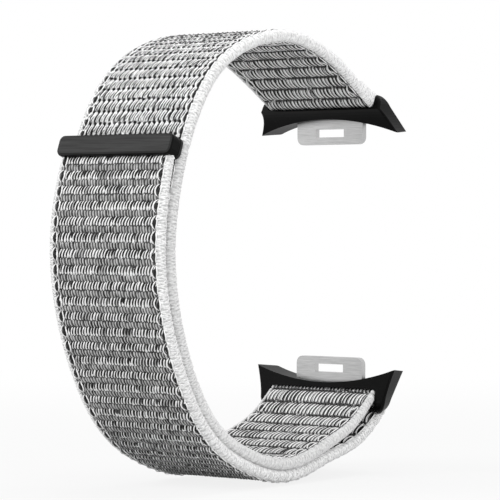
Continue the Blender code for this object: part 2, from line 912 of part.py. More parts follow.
def add_pivot(name, place, children):
    """An empty on a joint's axis that carries the pieces turning with it."""
    pivot = bpy.data.objects.new(name, None)
    bpy.context.scene.collection.objects.link(pivot)
    pivot.location = (0.0, place[0], place[1])
    bpy.context.view_layer.update()
    for child in children:
        child.parent = pivot
        child.matrix_parent_inverse = pivot.matrix_world.inverted()


def make_end(prefix, side, bar, wrap_radius, sizes):
    """One adapter with its latch and the spring bar that the webbing goes round."""
    pieces = [
        make_adapter(prefix, side, bar, wrap_radius, sizes),
        make_latch(prefix, side),
        make_bar_tube(prefix, bar),
        make_bar_spring(prefix, bar),
        make_bar_tip(prefix, "left", -1, bar),
        make_bar_tip(prefix, "right", 1, bar),
    ]
    add_pivot(f"{prefix}_adapter_axis", bar, pieces)


def flap_axis():
    """Where the free end bends when it is peeled off: on the outer face, at the slit."""
    place, onward, outward = outer_place(flap_start)
    return place


clear_scene()
make_wrist_band()
free_end = [
    make_tail_flap(),
    make_hook_patch(),
    make_tip_cover(),
    make_tip_clamp(),
    make_tip_screw("tip_screw_left", -1),
    make_tip_screw("tip_screw_right", 1),
]
add_pivot("tail_flap_axis", flap_axis(), free_end)
make_end("upper", 1, upper_bar, upper_wrap_radius, upper_sizes)
make_end("lower", -1, lower_bar, lower_wrap_radius, lower_sizes)

place = flap_axis()
print("webbing inner length mm", round(curve_length / mm, 2))
print("flap axis mm", round(place.x / mm, 3), round(place.y / mm, 3))
tip_place = tip_frame().col[3]
print("tip centre mm", round(tip_place[1] / mm, 3), round(tip_place[2] / mm, 3))
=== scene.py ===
# Nylon watch strap: woven webbing, hook patch and black fittings, on a pale floor in soft light.
import math
from collections import namedtuple

import bpy
import numpy as np
from mathutils import Matrix, Vector


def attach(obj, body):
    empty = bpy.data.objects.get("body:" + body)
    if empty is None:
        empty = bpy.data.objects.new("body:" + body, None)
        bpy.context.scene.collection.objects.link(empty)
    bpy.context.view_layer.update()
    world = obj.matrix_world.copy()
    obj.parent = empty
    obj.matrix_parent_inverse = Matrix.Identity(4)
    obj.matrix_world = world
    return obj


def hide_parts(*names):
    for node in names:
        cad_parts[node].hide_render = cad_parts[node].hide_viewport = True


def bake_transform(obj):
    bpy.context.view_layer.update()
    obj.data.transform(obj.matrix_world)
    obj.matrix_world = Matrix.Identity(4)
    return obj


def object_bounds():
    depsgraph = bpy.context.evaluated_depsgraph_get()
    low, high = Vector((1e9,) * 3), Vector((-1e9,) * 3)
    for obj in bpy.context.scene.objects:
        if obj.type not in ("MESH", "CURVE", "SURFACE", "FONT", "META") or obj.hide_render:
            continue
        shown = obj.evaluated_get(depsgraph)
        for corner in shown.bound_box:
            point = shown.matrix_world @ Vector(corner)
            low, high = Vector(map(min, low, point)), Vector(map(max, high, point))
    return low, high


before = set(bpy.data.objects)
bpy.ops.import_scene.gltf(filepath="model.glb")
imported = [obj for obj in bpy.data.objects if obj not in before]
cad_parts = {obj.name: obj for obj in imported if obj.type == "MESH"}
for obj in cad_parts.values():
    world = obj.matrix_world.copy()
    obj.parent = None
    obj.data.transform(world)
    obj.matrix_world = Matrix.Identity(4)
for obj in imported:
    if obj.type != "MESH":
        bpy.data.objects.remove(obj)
cad_low, cad_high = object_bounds()

mm = 0.001

# Webbing, as in the solids
strap_width = 22.0 * mm
webbing_thickness = 1.85 * mm
layer_gap = 0.3 * mm
loop_ply = 0.7 * mm
loop_taper_length = 8.0 * mm
layer_close_length = 20.0 * mm
wrist_depth = 58.2 * mm
wrist_bulge_height = 8.25 * mm
wrist_centre_height = 0.3 * mm
wrist_outline_shares = [
    (0.165, 0.818),
    (0.289, 0.926),
    (0.485, 1.000),
    (0.653, 0.952),
    (0.800, 0.823),
    (0.904, 0.600),
    (0.973, 0.307),
    (1.000, 0.000),
    (0.978, -0.277),
    (0.909, -0.570),
    (0.800, -0.806),
    (0.660, -0.934),
    (0.470, -1.000),
    (0.275, -0.920),
    (0.150, -0.838),
]
upper_leave_angle = math.radians(28.0)
lower_leave_angle = math.radians(38.0)
tail_length = 95.1 * mm
flap_length = 31.0 * mm
flap_thickness = 1.4 * mm
tip_height = 3.5 * mm
soft_clearance = 0.1 * mm
patch_side_margin = 1.5 * mm
patch_slit_margin = 3.5 * mm
patch_tip_margin = 1.75 * mm
upper_bar_depth = 2.3 * mm
lower_bar_depth = 1.6 * mm
bar_wrap_radius = 0.75 * mm
upper_bar_height = 25.8 * mm
lower_bar_height = 26.5 * mm
curve_samples_per_span = 40

# The cloth itself: mostly thinner than its solid, and thinnest at the fold
cloth_thickness = 1.65 * mm
fold_thickness = 1.35 * mm
settle_depth = 0.4 * mm
settle_length = 40.0 * mm
loop_press = 0.2 * mm
bend_reach = 2.75 * mm
outer_end_inset = 0.8 * mm
core_inset = 0.16 * mm
core_side_inset = 0.3 * mm
core_arc_points = 7
core_step = 1.0 * mm

# Rows of yarns
woven_half_width = 10.3 * mm
yarn_side_margin = 0.1 * mm
row_pitch = 2.3 * mm
rib_pitch = 3.3 * mm
pile_pitch = 2.1 * mm
dash_column_count = 35
rib_column_count = 27
pile_column_count = 20
pile_start = 1.0 * mm
pile_end_gap = 20.0 * mm
knot_start = 4.0 * mm
knot_inset = 0.2 * mm
inner_knot_inset = 0.6 * mm
seam_place = 5.0 * mm
seam_row_gap = 1.5 * mm
seam_stitch_count = 13
seam_stitch_length = 1.25 * mm
seam_thread_radius = 0.16 * mm
seam_lift = 0.34 * mm

# Each yarn
yarn_stations = 6
yarn_dip = 0.25 * mm
yarn_flatness = 0.8
yarn_end_share = 0.35
dive_power = 0.5
taper_power = 0.4
side_wobble_share = 0.5
lift_wobble_share = 0.25
odd_yarn_level = 0.28
odd_yarn_run = 3
tube_sides = 5
texture_shift = (31.0, 17.0)
tube_texture_turn = 0.2
smallest_step = 1e-9
smallest_length = 1e-12

# Knitted edge
edge_reach = 0.1 * mm
edge_extra_reach = 0.4 * mm
edge_ease_length = 14.0 * mm
edge_swell = 0.05 * mm
edge_side_power = 0.6
edge_step = 0.25 * mm
edge_bead_points = 11
edge_bead_margin = 0.02
edge_knit_swell = 0.035 * mm
edge_knit_waves = 5
edge_loop_pitch = 0.52 * mm
edge_loop_slant = 0.7 * mm
edge_slant_spread = 0.5
edge_yarn_stations = 9
edge_yarn_margin = 0.03
edge_yarn_stand = 0.03 * mm
edge_yarn_radius = 0.14 * mm
edge_radius_spread = 0.12
edge_yarn_scatter = 0.1 * mm
edge_shade_overlap = 1.0 * mm
edge_texture_turn = 3.0

# Hook tape
tape_thickness = 0.2 * mm
tape_stations = 24
hook_margin = 0.5 * mm
hook_column_count = 26
hook_row_count = 30
hook_stations = 7
hook_stem_share = 0.4
hook_stem = 0.14 * mm
hook_radius = 0.11 * mm
hook_wire_radius = 0.045 * mm

# Floor and light
floor_drop = 0.3 * mm
floor_reach = 3.0
floor_grey = 0.65
floor_fade = (0.06, 0.3)
floor_least_glow = 0.85
world_light = 0.5
world_white = 1.0
lamp_size = 0.5
lamp_target = (0.0, -0.03, 0.0)

# Camera that the photograph's edges give, fitted at the strap's own scale
camera_azimuth = math.radians(36.905)
camera_elevation = math.radians(0.468)
camera_roll = math.radians(0.19)
camera_distance = 442.76 * mm
camera_side_offset = -16.243 * mm
camera_rise = -1.045 * mm
camera_aim = Vector((0.0, 3.0 * mm, 1.1 * mm))
picture_width = 500
focal_in_pixels = 2498.8
sensor_width = 36.0
camera_clip_start = 10.0 * mm

half_width = strap_width / 2
yarn_half_span = woven_half_width - yarn_side_margin
fold_gap = 2 * bar_wrap_radius
upper_wrap_radius = bar_wrap_radius + loop_ply
lower_wrap_radius = bar_wrap_radius + webbing_thickness
wrist_half_height = (upper_bar_height + lower_bar_height) / 2 + wrist_bulge_height
upper_bar = np.array((-upper_bar_depth, upper_bar_height))
lower_bar = np.array((-lower_bar_depth, -lower_bar_height))
chance = np.random.default_rng(7)


# Curve of the webbing
def clamped_spline(points, start_direction, end_direction):
    """Smooth curve through the points that leaves and arrives in the given directions."""
    knots = np.array(points)
    steps = np.linalg.norm(np.diff(knots, axis=0), axis=1)
    count = len(knots)
    matrix = np.zeros((count, count))
    right = np.zeros((count, 2))
    matrix[0, 0] = 1.0
    matrix[-1, -1] = 1.0
    right[0] = start_direction
    right[-1] = end_direction
    for i in range(1, count - 1):
        before, after = steps[i - 1], steps[i]
        matrix[i, i - 1] = after
        matrix[i, i] = 2 * (before + after)
        matrix[i, i + 1] = before
        rise = (knots[i] - knots[i - 1]) / before * after
        rise_after = (knots[i + 1] - knots[i]) / after * before
        right[i] = 3 * (rise + rise_after)
    slopes = np.linalg.solve(matrix, right)
    return knots, slopes, steps


def hermite(start, end, start_slope, end_slope, step, u):
    """Point and tangent at share u of one span of the spline."""
    a = 2 * u**3 - 3 * u**2 + 1
    b = u**3 - 2 * u**2 + u
    c = -2 * u**3 + 3 * u**2
    d = u**3 - u**2
    point = a * start + b * step * start_slope + c * end + d * step * end_slope
    da = 6 * u**2 - 6 * u
    db = 3 * u**2 - 4 * u + 1
    dd = 3 * u**2 - 2 * u
    tangent = (da * start - da * end) / step + db * start_slope + dd * end_slope
    return point, tangent


def spline_samples(spline):
    """Points, unit tangents and lengths along the whole spline."""
    knots, slopes, steps = spline
    places = []
    for i, step in enumerate(steps):
        for k in range(curve_samples_per_span):
            u = k / curve_samples_per_span
            places.append(hermite(knots[i], knots[i + 1], slopes[i], slopes[i + 1], step, u))
    places.append(hermite(knots[-2], knots[-1], slopes[-2], slopes[-1], steps[-1], 1.0))
    points = np.array([place[0] for place in places])
    tangents = np.array([place[1] for place in places])
    tangents /= np.linalg.norm(tangents, axis=1)[:, None]
    lengths = np.concatenate([[0.0], np.cumsum(np.linalg.norm(np.diff(points, axis=0), axis=1))])
    return points, tangents, lengths


def leave_direction(side, angle):
    """The way the webbing leaves a bar, away from the watch; side is +1 at the upper end."""
    return np.array((-math.cos(angle), side * math.sin(angle)))


def wrist_normal(side, angle):
    """Across the leaving webbing, towards the wrist."""
    return np.array((-math.sin(angle), -side * math.cos(angle)))


def wrist_curve():
    """The webbing's inner face as a smooth (Y, Z) curve from the upper bar to the lower bar."""
    start = upper_bar + upper_wrap_radius * wrist_normal(1, upper_leave_angle)
    end = lower_bar + lower_wrap_radius * wrist_normal(-1, lower_leave_angle)
    middle = []
    for depth_share, height_share in wrist_outline_shares:
        height = wrist_centre_height + height_share * wrist_half_height
        middle.append((-depth_share * wrist_depth, height))
    points = [start] + middle + [end]
    spline = clamped_spline(
        points,
        leave_direction(1, upper_leave_angle),
        -leave_direction(-1, lower_leave_angle),
    )
    return spline_samples(spline)


curve_points, curve_tangents, curve_lengths = wrist_curve()
curve_length = curve_lengths[-1]


def curve_frames(lengths):
    """Points of the inner face and outward normals at lengths from the upper bar."""
    lengths = np.asarray(lengths)
    points = np.stack([np.interp(lengths, curve_lengths, curve_points[:, k]) for k in range(2)], -1)
    along = np.stack([np.interp(lengths, curve_lengths, curve_tangents[:, k]) for k in range(2)], -1)
    along /= np.linalg.norm(along, axis=-1)[..., None]
    outward = np.stack([along[..., 1], -along[..., 0]], -1)
    return points, outward


def ease(share):
    """0 to 1 with a soft start and a soft end."""
    share = np.clip(share, 0.0, 1.0)
    return share * share * (3 - 2 * share)


def smooth_between(start, end, value):
    return ease((value - start) / (end - start))


# Faces of the webbing: each gives (Y, Z) points and the direction out of the cloth
def inner_face(lengths):
    """The wrist's side of the inner run, by length from the upper bar."""
    points, outward = curve_frames(lengths)
    return points, -outward


def run_thickness(lengths):
    """The inner run is thicker at its sewn loop and pressed thin near the fold."""
    extra = 2 * upper_wrap_radius - loop_press - cloth_thickness
    near_fold = 1 - ease((curve_length - lengths) / layer_close_length)
    near_loop = 1 - ease(lengths / loop_taper_length)
    return cloth_thickness + extra * near_loop - (cloth_thickness - fold_thickness) * near_fold


def loop_end_thickness(lengths):
    """Round the upper bar, where the cloth fills the loop down to the bar's middle."""
    return np.full(np.shape(lengths), upper_wrap_radius)


def folded_thickness(lengths):
    """Round the lower bar."""
    return np.full(np.shape(lengths), fold_thickness)


def back_face(lengths):
    """The outside of the inner run, by length from the upper bar."""
    points, outward = curve_frames(lengths)
    return points + outward * run_thickness(lengths)[..., None], outward


def loop_end_face(lengths):
    """Round the upper bar, from the outside of the inner run to its wrist side."""
    inside = wrist_normal(1, upper_leave_angle)
    away = -leave_direction(1, upper_leave_angle)
    angles = lengths / upper_wrap_radius
    radius = upper_wrap_radius - loop_press * (1 - angles / math.pi)
    spokes = -inside * np.cos(angles)[..., None] + away * np.sin(angles)[..., None]
    return upper_bar + spokes * radius[..., None], spokes


def fold_face(lengths):
    """Round the lower bar, from the wrist side to the outer run."""
    inside = wrist_normal(-1, lower_leave_angle)
    away = -leave_direction(-1, lower_leave_angle)
    angles = lengths / lower_wrap_radius
    spokes = inside * np.cos(angles)[..., None] + away * np.sin(angles)[..., None]
    return lower_bar + spokes * lower_wrap_radius, spokes


def outer_face(lengths):
    """The outside of the outer run, by length from the lower bar."""
    points, outward = curve_frames(curve_length - lengths)
    closing = ease(lengths / layer_close_length)
    gap = fold_gap + (layer_gap - fold_gap) * closing
    settled = settle_depth * closing * ease((tail_length - tip_height - lengths) / settle_length)
    height = 2 * webbing_thickness + gap - settled
    return points + outward * height[..., None], outward


def outer_thickness(lengths):
    """The outer run is thinner at the fold and along its free end."""
    start = tail_length - flap_length - bend_reach
    share = smooth_between(start, start + 2 * bend_reach, lengths)
    run = fold_thickness + (cloth_thickness - fold_thickness) * ease(lengths / layer_close_length)
    return run + (flap_thickness - run) * share


def flap_back_face(lengths):
    """The side of the outer run that lies against the inner one."""
    points, outward = outer_face(lengths)
    return points - outward * outer_thickness(lengths)[..., None], -outward


# Mesh building
class MeshParts:
    """Gathers vertices, four-sided faces, their materials and their fabric coordinates."""

    def __init__(self):
        self.points = []
        self.faces = []
        self.slots = []
        self.coords = []
        self.count = 0

    def add_grid(self, grid, coords, slot, wrap=False):
        """Adds strips of points, shaped (strips, along, across, 3)."""
        strips, along, across = grid.shape[:3]
        index = np.arange(strips * along * across).reshape(strips, along, across) + self.count
        if wrap:
            index = np.concatenate([index, index[:, :, :1]], axis=2)
        near = index[:, :-1, :-1]
        right = index[:, :-1, 1:]
        far_right = index[:, 1:, 1:]
        far = index[:, 1:, :-1]
        faces = np.stack([near, right, far_right, far], -1).reshape(-1, 4)
        self.points.append(grid.reshape(-1, 3))
        self.coords.append(coords.reshape(-1, 2))
        self.faces.append(faces)
        self.slots.append(np.full(len(faces), slot))
        self.count += strips * along * across

    def build(self, name, materials):
        """One smooth object from all that was gathered."""
        points = np.concatenate(self.points)
        coords = np.concatenate(self.coords)
        faces = np.concatenate(self.faces)
        mesh = bpy.data.meshes.new(name)
        mesh.vertices.add(len(points))
        mesh.vertices.foreach_set("co", points.ravel())
        mesh.loops.add(faces.size)
        mesh.loops.foreach_set("vertex_index", faces.ravel().astype(np.int32))
        mesh.polygons.add(len(faces))
        starts = np.arange(len(faces), dtype=np.int32) * 4
        mesh.polygons.foreach_set("loop_start", starts)
        mesh.polygons.foreach_set("material_index", np.concatenate(self.slots).astype(np.int32))
        layer = mesh.uv_layers.new(name="fabric")
        layer.data.foreach_set("uv", coords[faces.ravel()].ravel())
        for material in materials:
            mesh.materials.append(material)
        mesh.update(calc_edges=True)
        mesh.validate()
        mesh.shade_smooth()
        obj = bpy.data.objects.new(name, mesh)
        bpy.context.scene.collection.objects.link(obj)
        return obj


# Yarns
# Section of a yarn that lies on a face: side and height, as shares of its half width
yarn_profile = np.array([(-1.0, -0.5), (-0.72, 0.55), (0.0, 1.0), (0.72, 0.55), (1.0, -0.5)])

white_slot, grey_slot, black_slot, dark_slot, core_slot = range(5)
# The edge's painted-shade slot holds a greyer copy of the edge yarn, for the inner run's edge where the
# tail lies over it.
edge_slot, painted_shade_edge_slot, edge_base_slot, pale_slot = range(5, 9)

# One kind of yarn in a row. Its side is a share of a column's width, its start is counted from the row's,
# half is half its width and top its height over the face. It leans, bows and sways sideways. A skew under
# 1 makes it widest near its start, and odd is the slot that a few of them take instead.
Yarn = namedtuple(
    "Yarn",
    "slot side start reach half top lean bow sway jitter odd skew",
    defaults=(0.0, 0.0, 0.0, 0.06 * mm, None, 1.0),
)


def add_yarns(parts, face, x, lengths, half_widths, lifts, slot):
    """Lays short yarns on a face; every array is (yarns, stations)."""
    dx = np.gradient(x, axis=1)
    ds = np.gradient(lengths, axis=1)
    size = np.hypot(dx, ds) + smallest_step
    across_x = ds / size
    across_s = -dx / size
    side = yarn_profile[:, 0]
    crown = yarn_profile[:, 1]
    spread = half_widths[..., None] * side
    place_x = x[..., None] + across_x[..., None] * spread
    place_s = lengths[..., None] + across_s[..., None] * spread
    rise = lifts[..., None] + half_widths[..., None] * (crown - 1.0) * yarn_flatness
    points, out = face(place_s)
    points = points + out * rise[..., None]
    grid = np.concatenate([place_x[..., None], points], -1)
    reach = np.concatenate([np.zeros((len(x), 1)), np.cumsum(size, axis=1)[:, :-1]], axis=1)
    along = np.broadcast_to(reach[..., None], spread.shape)
    parts.add_grid(grid, shifted_coords(spread / mm, along / mm), slot)


def shifted_coords(around, along):
    """Fabric coordinates, moved by chance for each yarn so that no two show the same streaks."""
    shift = chance.uniform(0.0, 1.0, len(around))[:, None, None]
    return np.stack([around + shift * texture_shift[0], along + shift * texture_shift[1]], -1)


def dive(share, top):
    """Lift along a yarn: up out of the cloth, over and down again."""
    return -yarn_dip + (top + yarn_dip) * np.sin(math.pi * share) ** dive_power


def taper(share, half, skew):
    """Half width along a yarn, widest in its middle, or nearer its start where skew is under 1."""
    arch = np.sin(math.pi * share ** skew) ** taper_power
    return half * (yarn_end_share + (1 - yarn_end_share) * arch)


def row_starts(start, end, wanted):
    """Starts of whole rows between two lengths, and their pitch, near the wanted one."""
    count = int(math.floor((end - start) / wanted))
    pitch = (end - start) / count
    return start + pitch * np.arange(count), pitch


def columns(count, half):
    """Middles of columns over the width, and the gap between them."""
    pitch = 2 * half / count
    return -half + pitch * (np.arange(count) + 0.5), pitch


def lay(parts, face, base_x, base_s, yarn):
    """One yarn at each column of a row, no two quite alike; a few neighbours take the odd slot."""
    count = len(base_x)
    aside, ahead, drift, raised = chance.normal(0.0, yarn.jitter, (4, count, 1))
    share = np.linspace(0.0, 1.0, yarn_stations)[None, :]
    x = base_x[:, None] + aside * side_wobble_share + (yarn.lean + drift) * share
    x = x + yarn.bow * np.sin(math.pi * share) + yarn.sway * np.sin(2 * math.pi * share)
    lengths = np.broadcast_to(base_s, count)[:, None] + ahead + yarn.reach * share
    lifts = dive(share, yarn.top) + raised * lift_wobble_share
    widths = np.broadcast_to(taper(share, yarn.half, yarn.skew), x.shape)
    draws = chance.random(count + odd_yarn_run - 1)
    odd = np.convolve(draws, np.full(odd_yarn_run, 1 / odd_yarn_run), "valid") < odd_yarn_level
    if yarn.odd is None:
        odd[:] = False
    for picked, slot in ((~odd, yarn.slot), (odd, yarn.odd)):
        if picked.any():
            add_yarns(parts, face, x[picked], lengths[picked], widths[picked], lifts[picked], slot)


def lay_row(parts, face, xs, gap, s, yarns):
    """All kinds of yarn of one row, over columns that lie a gap apart."""
    for yarn in yarns:
        lay(parts, face, xs + yarn.side * gap, s + yarn.start, yarn)


def weave_dashes(parts, face, start, end):
    """Rows of slanted black and white dashes, with shorter grey ones between them."""
    starts, pitch = row_starts(start, end, row_pitch)
    xs, gap = columns(dash_column_count, yarn_half_span)
    for i, s in enumerate(starts):
        lay_row(parts, face, xs, gap, s, dash_yarns(pitch, steep=i % 2 == 0))


def dash_yarns(pitch, steep):
    """Two short yarns and two dashes for each column; the dashes are steeper in every second row."""
    lean = 0.55 * mm if steep else 0.75 * mm
    white_start = (0.34 if steep else 0.4) * pitch
    black_start = 0.46 * pitch
    dash_end = 1.02 * pitch
    short = {"start": -0.06 * pitch, "reach": 0.5 * pitch, "lean": -0.28 * mm, "bow": 0.04 * mm}
    dash = {"lean": lean, "bow": 0.06 * mm}
    return (
        Yarn(grey_slot, -0.32, half=0.16 * mm, top=0.07 * mm, **short),
        Yarn(dark_slot, 0.16, half=0.12 * mm, top=0.08 * mm, odd=black_slot, **short),
        Yarn(white_slot, -0.35, white_start, dash_end - white_start, half=0.195 * mm, top=0.13 * mm,
             odd=grey_slot, skew=0.55, **dash),
        Yarn(black_slot, 0.1, black_start, dash_end - black_start, half=0.19 * mm, top=0.15 * mm,
             odd=dark_slot, skew=1.3, **dash),
    )


def weave_ribs(parts, face, start, end):
    """Long curved yarns in white, black and grey, with a dotted dark line between the rows."""
    starts, pitch = row_starts(start, end, rib_pitch)
    xs, gap = columns(rib_column_count, yarn_half_span)
    rib = {"start": 0.2 * mm, "reach": pitch - 0.1 * mm, "lean": 0.2 * mm, "bow": -0.22 * mm,
           "jitter": 0.08 * mm}
    dot = {"start": -0.12 * mm, "reach": 0.45 * mm, "top": 0.05 * mm, "odd": grey_slot}
    yarns = (
        Yarn(white_slot, -0.32, half=0.17 * mm, top=0.12 * mm, **rib),
        Yarn(black_slot, 0.02, half=0.15 * mm, top=0.11 * mm, odd=dark_slot, **rib),
        Yarn(grey_slot, 0.34, half=0.13 * mm, top=0.07 * mm, odd=dark_slot, **rib),
        Yarn(dark_slot, 0.1, half=0.15 * mm, **dot),
        Yarn(black_slot, -0.4, half=0.12 * mm, **dot),
    )
    for s in starts:
        lay_row(parts, face, xs, gap, s, yarns)


def weave_pile(parts, face, start, end):
    """The looped face that the hooks grip: pale leaf-shaped loops with black dots between the rows."""
    starts, pitch = row_starts(start, end, pile_pitch)
    xs, gap = columns(pile_column_count, yarn_half_span)
    loop = {"lean": -0.34 * mm, "bow": 0.05 * mm, "sway": 0.1 * mm}
    yarns = (
        Yarn(pale_slot, 0.0, -0.25 * pitch, 1.5 * pitch, 0.27 * mm, 0.13 * mm, odd=grey_slot, **loop),
        Yarn(white_slot, -0.25, -0.1 * pitch, 1.15 * pitch, 0.1 * mm, 0.18 * mm, **loop),
        Yarn(white_slot, 0.2, -0.1 * pitch, 1.1 * pitch, 0.08 * mm, 0.16 * mm, odd=grey_slot, **loop),
        Yarn(dark_slot, 0.06, 0.15 * pitch, 0.65 * pitch, 0.08 * mm, 0.18 * mm, odd=black_slot, **loop),
        Yarn(black_slot, 0.47, 0.05 * pitch, 0.9 * pitch, 0.17 * mm, 0.17 * mm, odd=dark_slot, **loop),
        Yarn(black_slot, -0.12, 0.4 * pitch, 0.55 * pitch, 0.06 * mm, 0.18 * mm, odd=grey_slot, **loop),
        Yarn(black_slot, 0.45, -0.3 * mm, 0.7 * mm, 0.27 * mm, 0.27 * mm, lean=-0.06 * mm,
             jitter=0.07 * mm, odd=dark_slot),
    )
    row_shift = 0.08 * gap
    for i, s in enumerate(starts):
        lay_row(parts, face, xs + (row_shift if i % 2 else -row_shift), gap, s, yarns)


def add_knots(parts, face, start, end, wanted=row_pitch, inset=knot_inset):
    """One black knot to each row at the bound edge, between two thin white yarns."""
    starts, pitch = row_starts(start, end, wanted)
    for side in (-1, 1):
        x = np.full(len(starts), side * (woven_half_width - inset))
        knot = Yarn(black_slot, 0.0, 0.3 * pitch, 0.62 * pitch, 0.42 * mm, 0.3 * mm, lean=0.1 * mm,
                    bow=side * 0.05 * mm, jitter=0.07 * mm)
        around = [
            Yarn(white_slot, 0.0, 0.15 * pitch, pitch, 0.11 * mm, 0.36 * mm, lean=0.1 * mm,
                 bow=bow * mm, jitter=0.05 * mm)
            for bow in (side * 0.58, -side * 0.58)
        ]
        lay_row(parts, face, x, 0.0, starts, [knot] + around)


def add_seam(parts, face, place):
    """A row of short stitches across the webbing."""
    xs = columns(seam_stitch_count, woven_half_width)[0]
    stitch = Yarn(white_slot, 0.0, 0.0, 0.0, seam_thread_radius, seam_lift, lean=seam_stitch_length,
                  jitter=0.02 * mm)
    lay(parts, face, xs - seam_stitch_length / 2, place, stitch)


# Edges and core of the webbing
def edge_stand(lengths, start, end):
    """How far the bound edge stands out: less where it runs into an adapter or the clip."""
    from_end = np.minimum(lengths - start, end - lengths)
    return edge_reach + edge_extra_reach * ease(from_end / edge_ease_length)


def edge_section(deep, share, stand):
    """Side and depth of the bound edge, from the face (share 0) round to the back (share 1)."""
    angle = (share - 0.5) * math.pi
    side = half_width + stand - yarn_half_span
    x = yarn_half_span + side * np.cos(angle) ** edge_side_power
    depth = deep / 2 + (deep / 2 + edge_swell) * np.sin(angle)
    return np.broadcast_to(x, depth.shape), depth


def add_edges(parts, face, thickness, start, end, slot, run=None):
    """Both edges of the webbing: a rounded bead with yarns crossing round it in both leans."""
    run = run or (start, end)
    lengths = np.arange(start, end, edge_step)
    deep = thickness(lengths)[:, None]
    share = np.linspace(edge_bead_margin, 1 - edge_bead_margin, edge_bead_points)[None, :]
    x, depth = edge_section(deep, share, edge_stand(lengths, *run)[:, None])
    waves = np.cos(math.pi * lengths / edge_loop_pitch)[:, None]
    swell = edge_knit_swell * waves * np.cos(edge_knit_waves * math.pi * share)
    points, out = face(lengths)
    angle = (share - 0.5) * math.pi
    for side in (-1, 1):
        across = side * (x + swell * np.cos(angle))
        place = points[:, None, :] - out[:, None, :] * (depth + swell * np.sin(angle))[..., None]
        grid = np.concatenate([across[..., None], place], -1)[None]
        travel = np.broadcast_to(lengths[:, None], x.shape) / mm
        coords = np.stack([np.broadcast_to(share * edge_texture_turn, travel.shape), travel], -1)[None]
        # Painted shade: the bead takes a greyer yarn than the yarns that cross it, so the gaps between
        # them show darker.
        parts.add_grid(grid[:, :, ::side], coords[:, :, ::side], edge_base_slot)
        for lean in (-1, 1):
            add_edge_yarns(parts, face, thickness, start, end, side, lean, slot, run)


def add_edge_yarns(parts, face, thickness, start, end, side, lean, slot, run):
    """Yarns that cross round one edge, all leaning one way, at uneven places."""
    count = int((end - start) / edge_loop_pitch)
    base = start + (end - start) * (np.arange(count) + 0.5) / count
    base = base + chance.normal(0.0, edge_yarn_scatter, count)
    slant = edge_loop_slant * chance.uniform(1 - edge_slant_spread, 1 + edge_slant_spread, (count, 1))
    base = np.clip(base, start + edge_loop_slant, end - edge_loop_slant)[:, None]
    share = np.linspace(0.0, 1.0, edge_yarn_stations)[None, :]
    s = base + lean * slant * (share - 0.5)
    around = edge_yarn_margin + (1 - 2 * edge_yarn_margin) * share
    x, depth = edge_section(thickness(s), around, edge_stand(s, *run))
    points, out = face(s)
    across = side * (x + edge_yarn_stand * np.sin(math.pi * share))
    path = np.concatenate([across[..., None], points - out * depth[..., None]], -1)
    helper = np.stack([np.zeros_like(s), out[..., 1], -out[..., 0]], -1)
    spread = 1.0 + chance.normal(0.0, edge_radius_spread, (count, 1))
    add_tube(parts, path, np.broadcast_to(edge_yarn_radius * spread, s.shape), slot, helper)


def add_tube(parts, path, radius, slot, helper):
    """Round yarns along 3-D paths, shaped (yarns, stations, 3)."""
    tangent = np.gradient(path, axis=1)
    tangent /= np.linalg.norm(tangent, axis=-1)[..., None] + smallest_length
    first = np.cross(tangent, helper)
    first /= np.linalg.norm(first, axis=-1)[..., None] + smallest_length
    second = np.cross(tangent, first)
    angles = 2 * math.pi * np.arange(tube_sides) / tube_sides
    ring = first[..., None, :] * np.cos(angles)[:, None] + second[..., None, :] * np.sin(angles)[:, None]
    grid = path[..., None, :] + ring * radius[..., None, None]
    steps = np.linalg.norm(np.diff(path, axis=1), axis=-1)
    reach = np.concatenate([np.zeros((len(path), 1)), np.cumsum(steps, axis=1)], axis=1)
    along = np.broadcast_to(reach[..., None], grid.shape[:3])
    around = np.broadcast_to(angles * tube_texture_turn, grid.shape[:3])
    parts.add_grid(grid, shifted_coords(around, along / mm), slot, wrap=True)


def add_core(parts, face, thickness, start, end):
    """The closed body of the webbing under its yarns."""
    count = int(abs(end - start) / core_step) + 1
    lengths = np.linspace(start, end, count)
    deep = thickness(lengths)
    points, out = face(lengths)
    half = half_width - core_side_inset
    radius = deep / 2 - core_inset
    ring = []
    for side in (1, -1):
        for angle in np.radians(np.linspace(-90.0, 90.0, core_arc_points)):
            x = side * (half - radius + radius * math.cos(angle))
            depth = deep / 2 + side * radius * math.sin(angle)
            ring.append(np.concatenate([x[:, None], points - out * depth[:, None]], -1))
    add_ring_body(parts, ring, lengths, core_slot)


def add_ring_body(parts, ring, lengths, slot):
    """A body whose outline is given point by point, each as a line along the webbing."""
    grid = np.stack(ring, axis=1)[None]
    travel = np.broadcast_to(lengths[None, :, None], grid.shape[:3])
    coords = np.stack([grid[..., 0] / mm, travel / mm], -1)
    parts.add_grid(grid, coords, slot, wrap=True)


# Materials
edge_patch_scale = 2600.0
yarn_ramp = (0.36, 0.62)
roughness_spread = (-0.06, 0.08)
brushed_scale = (120.0, 4000.0, 4000.0)
steel_scale = (300.0, 9000.0, 9000.0)


def new_material(name):
    material = bpy.data.materials.new(name)
    material.use_nodes = True
    return material, material.node_tree, material.node_tree.nodes["Principled BSDF"]


def add_node(tree, kind, **values):
    """A node with its properties or inputs set; an underscore stands for a space in an input's name."""
    node = tree.nodes.new(kind)
    for key, value in values.items():
        if hasattr(node, key):
            setattr(node, key, value)
        else:
            node.inputs[key.replace("_", " ")].default_value = value
    return node


def object_place(tree):
    return add_node(tree, "ShaderNodeTexCoord").outputs["Object"]


def stretched(tree, place, scale):
    node = add_node(tree, "ShaderNodeMapping", Scale=scale)
    tree.links.new(place, node.inputs["Vector"])
    return node.outputs["Vector"]


def noise(tree, place, scale=1.0, detail=3.0, roughness=0.6):
    node = add_node(tree, "ShaderNodeTexNoise", Scale=scale, Detail=detail, Roughness=roughness)
    tree.links.new(place, node.inputs["Vector"])
    return node.outputs["Fac"]


def between(tree, value, low, high):
    """A value from 0 to 1, brought between low and high."""
    node = add_node(tree, "ShaderNodeMapRange", To_Min=low, To_Max=high)
    tree.links.new(value, node.inputs["Value"])
    return node.outputs["Result"]


